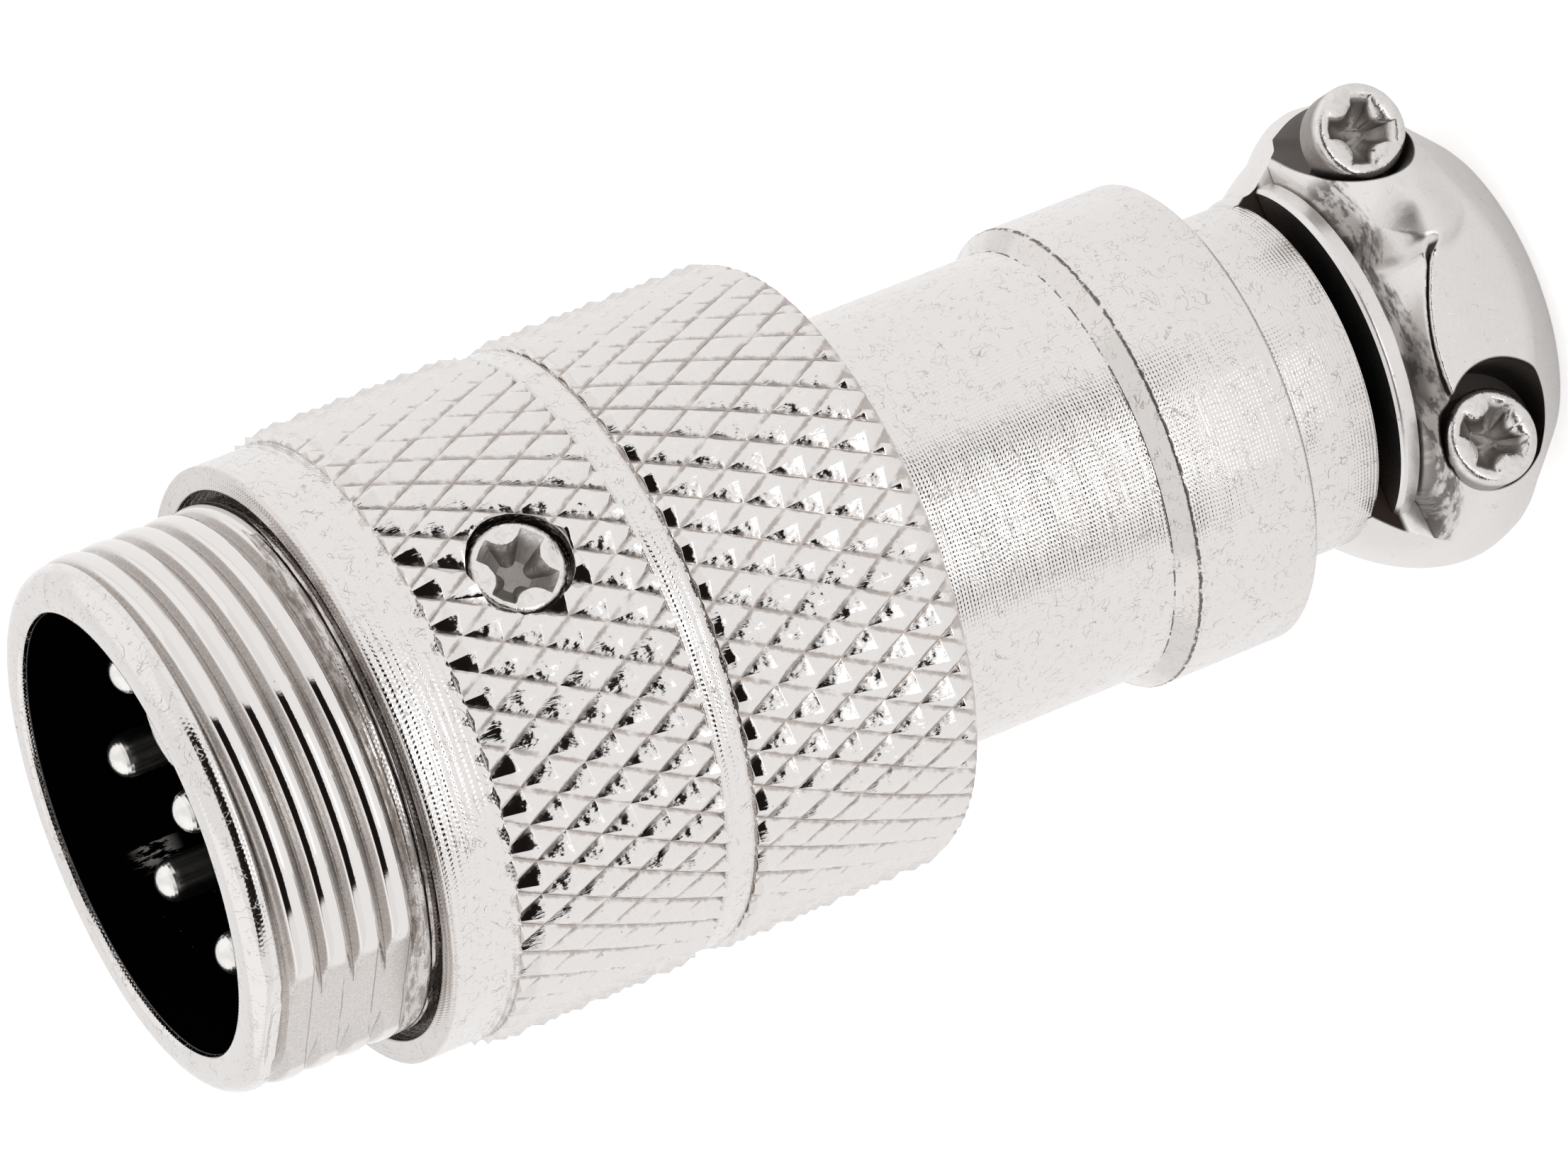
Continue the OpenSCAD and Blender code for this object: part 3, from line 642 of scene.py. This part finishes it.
def nose_wall(material):
    """The front shell under its thread: stub, neck, rounded rim, shoulder and spring groove, with two flats."""
    rim, lip = 0.75, 0.2
    outside = [
        (CAVITY_R, 30.15), (7.55, 30.15), (7.75, 30.35), (7.75, 31.95), (7.3, 31.95), (7.3, 35.55), (7.75, 35.55),
        (7.75, 37.05), (7.6, 37.3), (7.6, 38.3), (7.95, 38.55), (7.98, 38.8), (7.98, 39.2), (7.93, 39.27),
        (7.98, 39.34), (7.96, 39.6), (7.6, 39.78), (7.4, 39.9), (7.36, 43.6), (7.42, 43.70), (7.62, 43.80),
        (7.86, 43.88)]
    edge = curve(THREAD_R - 0.1 - rim, NOSE_Z - rim, rim, 0, 90, 8)
    edge += curve(CAVITY_R + lip, NOSE_Z - lip, lip, 90, 180, 4)
    inside = [
        (CAVITY_R, 36.65), (6.2, 36.65), (6.2, 36.15), (CAVITY_R, 36.15), (CAVITY_R, 31.63), (6.95, 31.63),
        (6.95, 31.0), (CAVITY_R, 31.0)]
    piece = turned("nose_wall", outside + edge + inside)
    for v in piece.data.vertices:
        flat = Vector((v.co.x - AXIS.x, v.co.y - AXIS.y, 0)) / MM
        z = v.co.z / MM
        if flat.length > 7.45 and z > 38.3:
            for side in (0, 180):
                a = math.radians(FLAT_TURN + side)
                way = Vector((math.sin(a), -math.cos(a), 0))
                over = flat.dot(way) - (FLAT + 0.5 * ease(z, 44.0, 44.6) + 0.4 * ease(-z, -39.7, -39.4))
                if over > 0:
                    v.co -= way * over * MM
    done(piece, 0.025, angle=35, smooth=40)
    return dress(piece, material, "nickel_casting", "plug", "nose_shell")


def nose_thread(material):
    """A rounded right-hand ridge, one pitch to a turn, flattened on two sides and run out at both ends."""
    round_r = 0.86
    dome = [-0.20 + 0.52 * i / 16 for i in range(17)]
    # Its section, as (radius, height from the crest), up one flank, over the crest and down the other.
    section = [(7.28, -0.53), (7.62, -0.50), (7.66, -0.45), (7.73, -0.38), (7.85, -0.30), (7.92, -0.25)]
    section += [(THREAD_R - round_r + math.sqrt(round_r ** 2 - dz ** 2), dz) for dz in dome]
    section += [(7.87, 0.355), (7.80, 0.39), (7.69, 0.44), (7.64, 0.48), (7.62, 0.50), (7.28, 0.53)]
    steps, turns, foot_r = 120, 4.6, section[0][0]
    total = int(steps * turns)
    bm = bmesh.new()
    rings = []
    for i in range(total + 1):
        turn = THREAD_TURN - i * 360 / steps
        drop = THREAD_TOP - i / steps
        fade = ease(i, 0, 26) * ease(total - i, 0, 30)
        ring = []
        for r, dz in section:
            r = foot_r + (r - foot_r) * (0.12 + 0.88 * fade)
            for side in (0, 180):
                gap = math.radians(turn - FLAT_TURN - side)
                if math.cos(gap) > 0.8:
                    r = min(r, (FLAT + 0.02) / math.cos(gap))
            ring.append(bm.verts.new(place(r, turn, drop + dz)))
        rings.append(ring)
    for a, b in zip(rings, rings[1:]):
        for k in range(len(section)):
            n = (k + 1) % len(section)
            bm.faces.new((a[k], b[k], b[n], a[n]))
    bm.faces.new(rings[0][::-1])
    bm.faces.new(rings[-1])
    piece = from_bmesh("nose_thread", bm)
    done(piece, smooth=60)
    return dress(piece, material, "nickel_casting", "plug")


def nose_key(material):
    """The rounded rib along the wall of the mouth."""
    bm = bmesh.new()
    half, rise, root = 1.25, 0.95, 0.25
    rings = []
    for z, grow in ((36.6, 1.0), (44.36, 1.0), (44.46, 0.95), (44.54, 0.80), (44.58, 0.55)):
        ring = []
        for i in range(13):
            across = -1 + 2 * i / 12
            inner = CAVITY_R - rise * (1 - across * across) * grow
            ring.append((across * half * (0.85 + 0.15 * grow), inner, z))
        rings.append([bm.verts.new(AXIS + Matrix.Rotation(math.radians(KEY_TURN), 3, "Z") @ Vector((x, -y, z)) * MM)
                      for x, y, z in ring + [(half, CAVITY_R + root, z), (-half, CAVITY_R + root, z)]])
    for a, b in zip(rings, rings[1:]):
        for k in range(len(a)):
            n = (k + 1) % len(a)
            bm.faces.new((a[k], a[n], b[n], b[k]))
    bm.faces.new(rings[0])
    bm.faces.new(rings[-1][::-1])
    piece = from_bmesh("nose_key", bm)
    done(piece, 0.04, smooth=45)
    return dress(piece, material, "nickel_casting", "plug")


# ---- Rear shell and clamp ----

def barrel_r(z):
    """Outline of the clamp: a cone round the rear face, a full belly and a long shoulder to the neck."""
    if z < 0.15:
        return 5.15 + z
    if z < 1.85:
        return 5.3 + 1.55 * (z - 0.15) / 1.7
    if z < 3.0:
        return 6.85 + 0.30 * math.sin((z - 1.85) / 1.15 * math.pi / 2)
    t = min(1.0, (z - 3.0) / 3.43)
    return 7.15 - (7.15 - NECK_R) * t ** 1.9


def shell_tube(material):
    """The rear shell in front of its clamp: neck, collar with a chamfer, and the tube."""
    piece = turned("shell_tube", [
        (4.24, NECK_Z), (NECK_R, NECK_Z), (NECK_R, COLLAR_Z - 0.12), (NECK_R - 0.12, COLLAR_Z),
        (COLLAR_R - 0.13, COLLAR_Z), (COLLAR_R, COLLAR_Z + 0.13), (COLLAR_R, TUBE_Z - 0.53), (TUBE_R, TUBE_Z),
        (TUBE_R, 25.95), (TUBE_R - 0.3, 26.25), (5.67, 26.25), (5.67, 11.48), (4.24, 10.05)])
    done(piece, 0.035)
    return dress(piece, material, "nickel_plate", "plug", "rear_shell")


def part_ring(name, heights, skin, bore, cut, far, steps):
    """A ring cut by a plane across Y: a skin given by angle and height, round a bore of (radius, height)."""
    bm = bmesh.new()
    loops = []
    for i in range(steps + 1):
        share = -1 + 2 * i / steps

        def angle(r):
            side = math.degrees(math.acos(cut / r))
            return 180 - share * (180 - side) if far else share * side

        loop = []
        for z in heights:
            r = skin(angle(6.0), z)
            loop.append(place(r, angle(r), z))
        loop += [place(r, angle(r), z) for r, z in bore]
        loops.append([bm.verts.new(point) for point in loop])
    for a, b in zip(loops, loops[1:]):
        for k in range(len(a)):
            n = (k + 1) % len(a)
            bm.faces.new((a[k], b[k], b[n], a[n]))
    bm.faces.new(loops[0])
    bm.faces.new(loops[-1][::-1])
    return from_bmesh(name, bm)


def half_r(turn, z):
    """The fixed half's skin, a little leaner on the shoulder towards +X."""
    lean = ease(turn, 55, 80) * (1 - ease(turn, 130, 175))
    return barrel_r(z) - 0.55 * lean * ease(z, 3.0, 4.3) * (1 - ease(z, 5.7, 6.4))


def clamp_half(material):
    """The clamp's fixed half, one casting with the rear shell, with a threaded hole for each screw."""
    heights = [0.0, 0.15] + [0.15 + 1.7 * i / 4 for i in range(1, 5)]
    heights += [1.85 + 1.15 * i / 5 for i in range(1, 6)] + [3.0 + 3.43 * i / 14 for i in range(1, 15)] + [6.6]
    bore = [(3.3, 6.6), (3.0, 6.2), (3.0, 0.12), (3.12, 0.0)]
    piece = part_ring("clamp_half", heights, half_r, bore, SPLIT, True, 150)
    for x in (UPPER, LOWER):
        bored(piece, (x, 0, SCREW_Z), (0, -1, 0), 1.04, -2.6, 3)
    done(piece, 0.05, angle=40)
    return dress(piece, material, "nickel_plate", "plug")


def least(a, b, k):
    """The smaller of two, rounded where they cross."""
    h = max(k - abs(a - b), 0.0) / k
    return min(a, b) - h * h * k * 0.25


def most(a, b, k):
    return -least(-a, -b, k)


def crack_z(x):
    """Height of the saddle's crack at a place across, for a number or for a shader value."""
    return 4.05 - 0.40 * x - 0.08 * x * x


def saddle_r(turn, z):
    """Radius of the saddle's skin: lip, groove, hollow slope, flat panel and the dome round the upper screw."""
    a = math.radians(turn)
    if z > 5.12:
        inner = ease(z, 5.12, 5.22)
        return 5.14 + (0.46 - 0.10 * (1 - ease(SADDLE_Z - z, -0.02, 0.12))) * inner
    base = barrel_r(z)
    x = 6.25 * math.sin(a)
    floor = 5.14
    fold = crack_z(max(-3.2, min(1.45, x)))
    off = z - fold
    flat = 6.16 / max(0.2, math.cos(a)) + 1.5 * ease(-x, 2.9, 3.9)
    hollow = floor + (flat + 0.10 - floor) * max(0.0, min(1.0, (4.98 - z) / (4.98 - fold))) ** 1.35
    body = least(base, flat if off < 0 else hollow, 0.2)
    tip = 3.15 + 0.12 * (x - 3)
    away = math.hypot(max(0.0, 3.1 - x), z - tip) - 1.62
    dome = base - 0.05 - 0.28 * ease(away, -1.3, 0.0) - 1.7 * ease(away, -0.15, 0.85)
    r = most(body, dome, 0.22)
    near = math.hypot(x + 4.5, z - 3.2) - 1.95
    ear = base - 0.10 - 1.6 * ease(near, -0.2, 0.7)
    r = most(r, ear, 0.22) if x < -2.2 else r
    if -2.9 < x < 1.6:
        wide = 0.05 + 0.09 * ease(x, 0.95, 1.45)
        r -= 0.16 * math.exp(-(off / wide) ** 2) * ease(x, -2.9, -2.6) * ease(-x, -1.6, -1.45)
    r += 0.012 * noise.noise(Vector((x * 1.1, z * 1.1, 5.0)))
    return max(r, floor)


def clamp_saddle(material):
    """The clamp's loose half, with a pocket and a through hole for each screw."""
    heights = [0.0, 0.05, 0.1] + [0.15 + 4.95 * i / 165 for i in range(0, 166)]
    heights += [5.14, 5.18, 5.22, 5.32, 5.45, 5.6, 5.68, 5.74, 5.78, 5.8]
    bore = [(3.0, SADDLE_Z), (3.0, 0.12), (3.12, 0.0)]
    piece = part_ring("saddle_body", heights, saddle_r, bore, SPLIT + 0.02, False, 240)
    for x, z, pocket_r in POCKETS:
        bored(piece, (x, 0, z), (0, -1, 0), pocket_r, SEAT, 9, 64)
    for x in (UPPER, LOWER):
        bored(piece, (x, 0, SCREW_Z), (0, -1, 0), 1.1, 0, 9)
    done(piece, smooth=38)
    return dress(piece, material, "nickel_plate", "saddle", "clamp_saddle")


# ---- Room ----

def add_room():
    bpy.ops.object.select_all(action="DESELECT")
    bpy.ops.mesh.primitive_plane_add(size=4, location=(0, 0, -0.00002))
    floor = bpy.context.object
    floor.name = "floor"
    p = Paint("pale_floor")
    p.set(Base_Color=(0.84, 0.84, 0.84), Roughness=0.9, Specular_IOR_Level=0.0)
    rays = p.node("ShaderNodeLightPath")
    seen, glossy = [Value(p, rays.socket.node.outputs[i]) for i in (0, 3)]
    glow = p.tree.nodes.new("ShaderNodeEmission")
    p.plug(glow.inputs[1], seen * 0.55 + glossy * 0.24)
    both = p.tree.nodes.new("ShaderNodeAddShader")
    p.tree.links.new(p.surface.outputs[0], both.inputs[0])
    p.tree.links.new(glow.outputs[0], both.inputs[1])
    p.tree.links.new(both.outputs[0], p.output.inputs[0])
    floor.data.materials.append(p.material)

    world = bpy.data.worlds.new("soft_room")
    scene.world = world
    world.use_nodes = True
    w = Paint("soft_room", world.node_tree)
    background = [n for n in w.tree.nodes if n.type == "BACKGROUND"][0]
    way = w.node("ShaderNodeTexCoord", out=0)
    parts = w.node("ShaderNodeSeparateXYZ", inputs={0: way})
    x, y, z = [Value(w, s) for s in parts.socket.node.outputs]
    # The unlit side of the room behind the viewer, low and wide.
    across, upward = w.size(x + 0.20) / 0.64, w.size(z - 0.07) / 0.47
    dark = w.step(across, 1.03, 0.97) * w.step(upward, 1.03, 0.97) * w.step(y, -0.1, -0.2)
    colour = w.mix(dark, (1.0, 1.0, 1.0), (0.012, 0.009, 0.008))
    seen = w.node("ShaderNodeLightPath")
    w.plug(background.inputs[0], w.mix(seen, colour, (1.0, 1.0, 1.0)))
    background.inputs[1].default_value = 0.94
    lamps = (("window", (-0.6, 0.3, 0.9), 1.2, 1.2, 0.7), ("bounce", (0.8, 0.1, 0.6), 1.2, 1.2, 0.5),
             ("strip", (-0.040, -0.150, 0.004), 0.12, 0.006, 0.02))
    for name, at, width, height, power in lamps:
        data = bpy.data.lights.new(name, "AREA")
        data.shape = "RECTANGLE"
        data.size, data.size_y = width, height
        data.energy = power
        lamp = bpy.data.objects.new(name, data)
        scene.collection.objects.link(lamp)
        lamp.location = at
        lamp.rotation_mode = "QUATERNION"
        lamp.rotation_quaternion = (Vector((0, 0, 0.022)) - Vector(at)).to_track_quat("-Z", "Y")
        lamp.visible_camera = False
    scene.view_settings.view_transform = "Standard"


add_camera()
silver, resin = contact_silver(), black_resin()
for name, solid in nodes.items():
    solid.data.materials.clear()
    solid.data.materials.append(silver if name.startswith("contact") else resin)
nodes["retaining_ring"].data.materials[0] = pressed_nickel("spring_nickel", grain=0.4)

sleeve_core(turned_nickel("sleeve_nickel", pitch=0.24, marks=2.2, worn=(39.12, 29.63, 30.53)))
knurl = knurled_nickel("knurled_nickel")
knurl_band("knurl_front", 2.1, 8.65, 0, knurl)
knurl_band("knurl_rear", 9.65, 16.85, 0.35, knurl)
cast = turned_nickel("nose_nickel", pitch=0.16, marks=0.7, zone=nose_zones)
nose_wall(cast)
nose_thread(thread_nickel())
nose_key(cast)
shell_tube(turned_nickel("shell_nickel", pitch=0.11, marks=1.2, worn=(9.72,), chatter=0.14, zone=shell_zones))
clamp_half(pressed_nickel("clamp_nickel", shade_paint=half_shade_paint))
clamp_saddle(pressed_nickel("saddle_nickel", shade_paint=saddle_shade_paint))
set_steel = screw_steel("set_steel", KEY_WAY, 8.3, SET_TOP)
clamp_steel = screw_steel("clamp_steel", (0.0, -1.0, 0.0), 4.75, SEAT + HEAD_H)
headless = [(0.8, -1.35), (1.2, -1.35), (1.40, -1.0), (1.40, -0.14)] + curve(1.26, -0.14, 0.14, 0, 90, 4)
cross_head("set_screw_head", KEY_WAY, (0, 0, SET_Z), SET_TOP, headless + [(0.8, 0.0)], 1.16, 0.7, 42, set_steel,
           "screw_plate", "locking_screw", "set_screw")
pan = [(0.5, -HEAD_H - 5.6), (0.8, -HEAD_H - 5.6), (1.0, -HEAD_H - 5.4), (1.0, -HEAD_H), (HEAD_R - 0.04, -HEAD_H),
       (HEAD_R, -HEAD_H + 0.04), (HEAD_R, -0.24)] + curve(HEAD_R - 0.24, -0.24, 0.24, 0, 90, 5) + [(0.6, 0.0)]
cross_head("screw_upper", (0, -1, 0), (UPPER, 0, SCREW_Z), SEAT + HEAD_H, pan, 1.07, 0.8, -22, clamp_steel,
           "screw_plate", "upper_screw", "clamp_screw_upper")
cross_head("screw_lower", (0, -1, 0), (LOWER, 0, SCREW_Z), SEAT + HEAD_H, pan, 1.07, 0.8, -38, clamp_steel,
           "screw_plate", "lower_screw", "clamp_screw_lower")
add_room()
